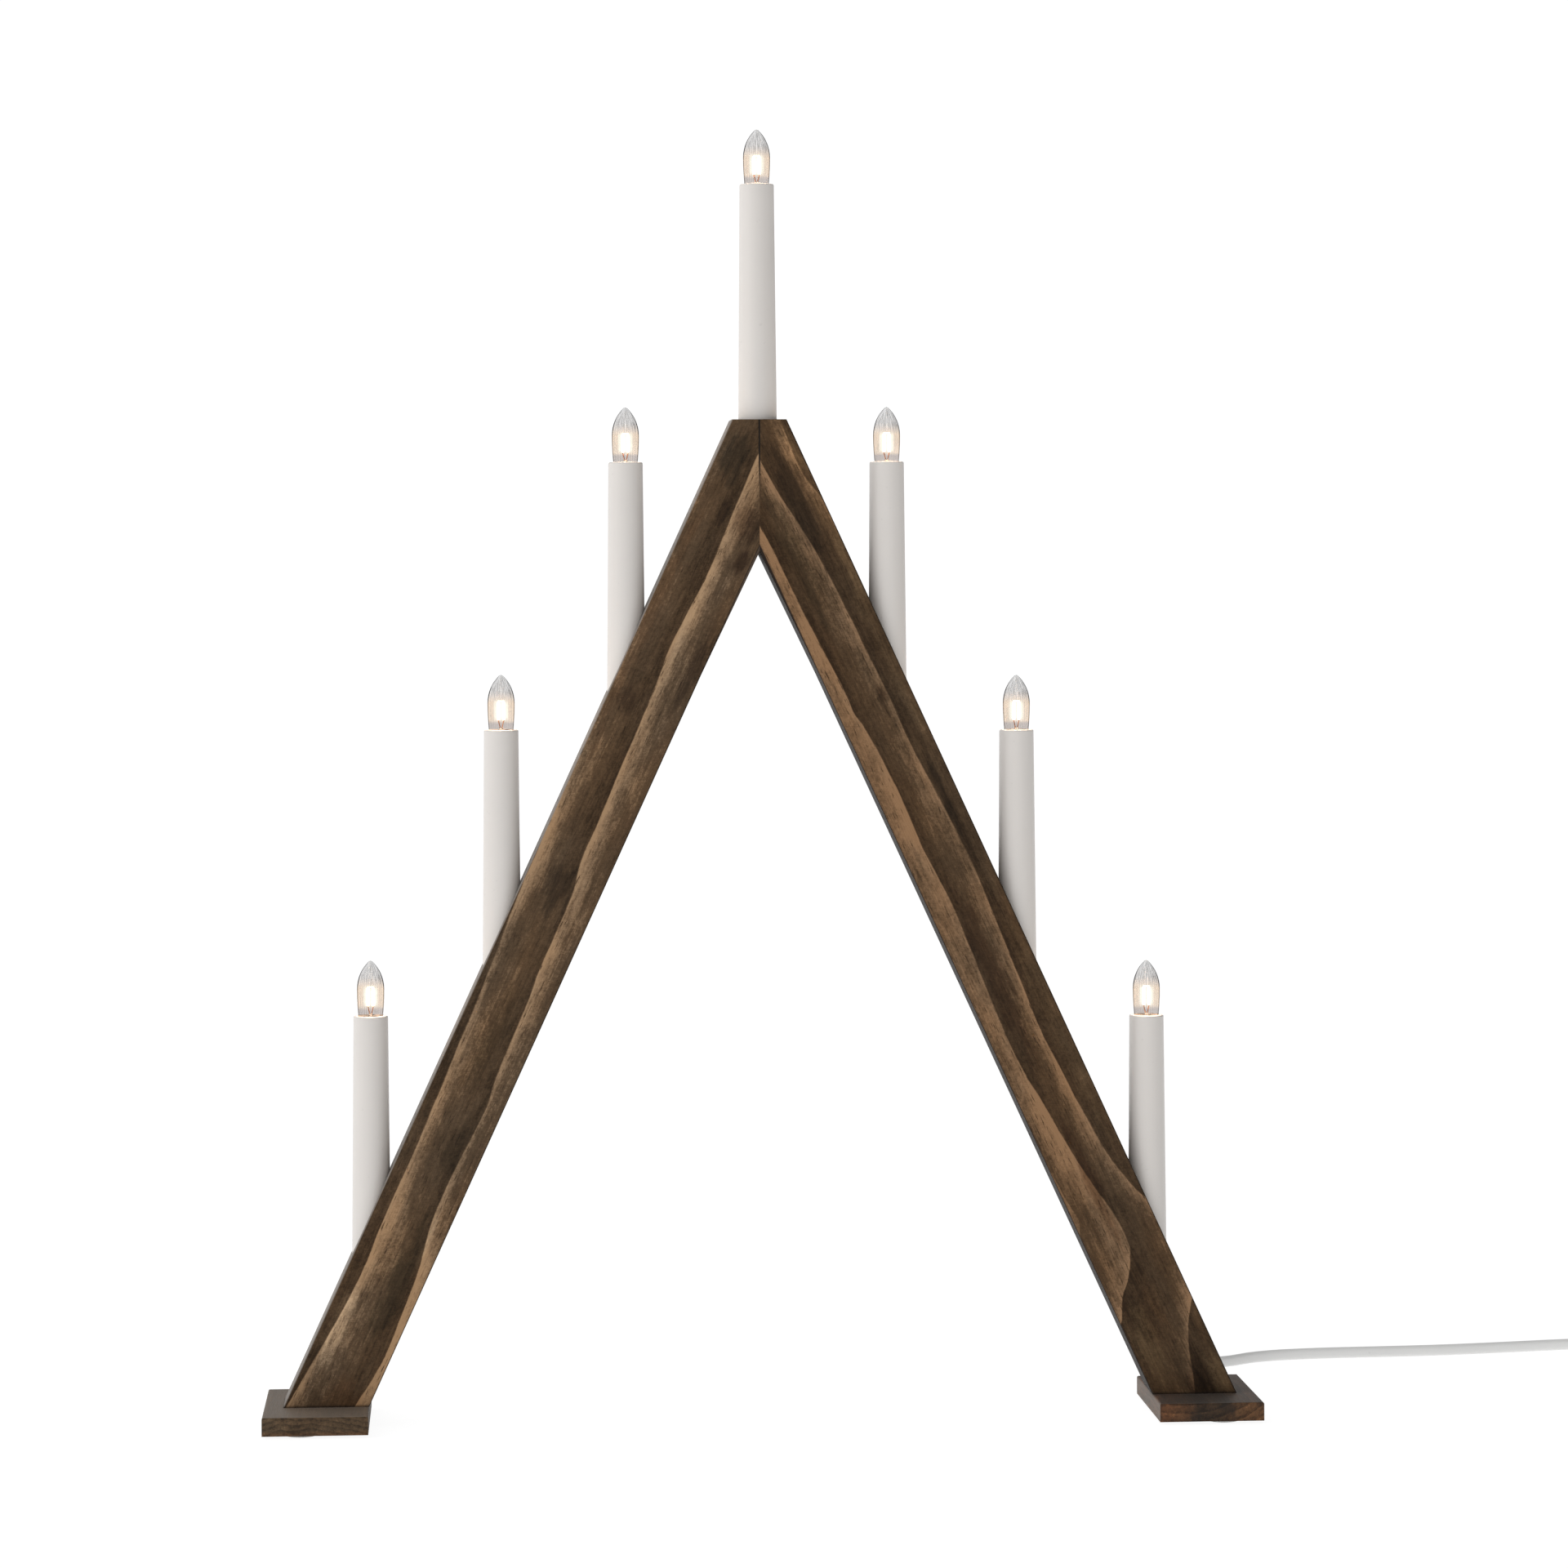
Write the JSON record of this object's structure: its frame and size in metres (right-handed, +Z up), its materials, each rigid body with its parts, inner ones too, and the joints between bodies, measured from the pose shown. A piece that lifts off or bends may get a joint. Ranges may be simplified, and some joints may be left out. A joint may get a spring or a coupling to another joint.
{
  "type": "candle arch",
  "caption": "Triangular wooden candle arch with electric candles standing in its sloping legs, plank feet, and a flat mains cord coiled beside it.",
  "frame": {"origin": "on the table under the middle of the arch, between the two feet", "axes": "+X to the right seen from the front, where the cord leaves; the front faces -Y; +Z up"},
  "size_m": [0.7976, 0.2035, 0.6329],
  "materials": {
    "leg_wood": "dark brown water stain on pine, grain showing, not varnished",
    "foot_wood": "dark brown stain on pine, worn at the edges",
    "dowel_wood": "plain beech",
    "cover_wood": "thin stained strip",
    "tube_plastic": "soft white, satin",
    "holder_plastic": "white moulding",
    "bulb_glass": "clear, finely fluted",
    "stem_glass": "clear",
    "cap_metal": "pale nickel-plated brass",
    "filament": "warm white when lit",
    "socket_brass": "bright",
    "screw_steel": "zinc plated",
    "felt": "grey-white felt",
    "wire_plastic": "white insulation",
    "cord_plastic": "white, slightly glossy",
    "pin_metal": "nickel plated"
  },
  "bodies": {
    "arch": {"left_leg": "leg_wood", "right_leg": "leg_wood", "left_foot": "foot_wood", "right_foot": "foot_wood", "apex_dowels": "dowel_wood", "foot_screws": "screw_steel", "foot_pads": "felt", "left_back_cover": "cover_wood", "right_back_cover": "cover_wood", "tube_bushes": "holder_plastic", "candle_tube_top": "tube_plastic", "lampholder_top": "holder_plastic", "candle_tube_left_high": "tube_plastic", "lampholder_left_high": "holder_plastic", "candle_tube_left_middle": "tube_plastic", "lampholder_left_middle": "holder_plastic", "candle_tube_left_low": "tube_plastic", "lampholder_left_low": "holder_plastic", "candle_tube_right_high": "tube_plastic", "lampholder_right_high": "holder_plastic", "candle_tube_right_middle": "tube_plastic", "lampholder_right_middle": "holder_plastic", "candle_tube_right_low": "tube_plastic", "lampholder_right_low": "holder_plastic", "socket_shells": "socket_brass", "socket_contacts": "socket_brass", "wire_harness": "wire_plastic", "cord_gland": "cord_plastic", "mains_cord": "cord_plastic", "cord_coil": "cord_plastic", "plug_body": "cord_plastic", "plug_pins": "pin_metal"},
    "bulb_top": {"bulb_envelope_top": "bulb_glass", "bulb_cap_top": "cap_metal", "bulb_stem_top": "stem_glass", "bulb_filaments_top": "filament"},
    "bulb_left_high": {"bulb_envelope_left_high": "bulb_glass", "bulb_cap_left_high": "cap_metal", "bulb_stem_left_high": "stem_glass", "bulb_filaments_left_high": "filament"},
    "bulb_left_middle": {"bulb_envelope_left_middle": "bulb_glass", "bulb_cap_left_middle": "cap_metal", "bulb_stem_left_middle": "stem_glass", "bulb_filaments_left_middle": "filament"},
    "bulb_left_low": {"bulb_envelope_left_low": "bulb_glass", "bulb_cap_left_low": "cap_metal", "bulb_stem_left_low": "stem_glass", "bulb_filaments_left_low": "filament"},
    "bulb_right_high": {"bulb_envelope_right_high": "bulb_glass", "bulb_cap_right_high": "cap_metal", "bulb_stem_right_high": "stem_glass", "bulb_filaments_right_high": "filament"},
    "bulb_right_middle": {"bulb_envelope_right_middle": "bulb_glass", "bulb_cap_right_middle": "cap_metal", "bulb_stem_right_middle": "stem_glass", "bulb_filaments_right_middle": "filament"},
    "bulb_right_low": {"bulb_envelope_right_low": "bulb_glass", "bulb_cap_right_low": "cap_metal", "bulb_stem_right_low": "stem_glass", "bulb_filaments_right_low": "filament"}
  },
  "joints": [
    {"name": "bulb_top_turn", "type": "hinge", "parent": "arch", "child": "bulb_top", "pos_m": [0, 0, 0.6015], "axis": [0, 0, 1], "range_deg": [0, 1440]},
    {"name": "bulb_left_high_turn", "type": "hinge", "parent": "arch", "child": "bulb_left_high", "pos_m": [-0.06502, 0, 0.46499], "axis": [0, 0, 1], "range_deg": [0, 1440]},
    {"name": "bulb_left_middle_turn", "type": "hinge", "parent": "arch", "child": "bulb_left_middle", "pos_m": [-0.12642, 0, 0.33408], "axis": [0, 0, 1], "range_deg": [0, 1440]},
    {"name": "bulb_left_low_turn", "type": "hinge", "parent": "arch", "child": "bulb_left_low", "pos_m": [-0.19062, 0, 0.19469], "axis": [0, 0, 1], "range_deg": [0, 1440]},
    {"name": "bulb_right_high_turn", "type": "hinge", "parent": "arch", "child": "bulb_right_high", "pos_m": [0.06362, 0, 0.46499], "axis": [0, 0, 1], "range_deg": [0, 1440]},
    {"name": "bulb_right_middle_turn", "type": "hinge", "parent": "arch", "child": "bulb_right_middle", "pos_m": [0.12736, 0, 0.33269], "axis": [0, 0, 1], "range_deg": [0, 1440]},
    {"name": "bulb_right_low_turn", "type": "hinge", "parent": "arch", "child": "bulb_right_low", "pos_m": [0.19144, 0, 0.19138], "axis": [0, 0, 1], "range_deg": [0, 1440]}
  ]
}
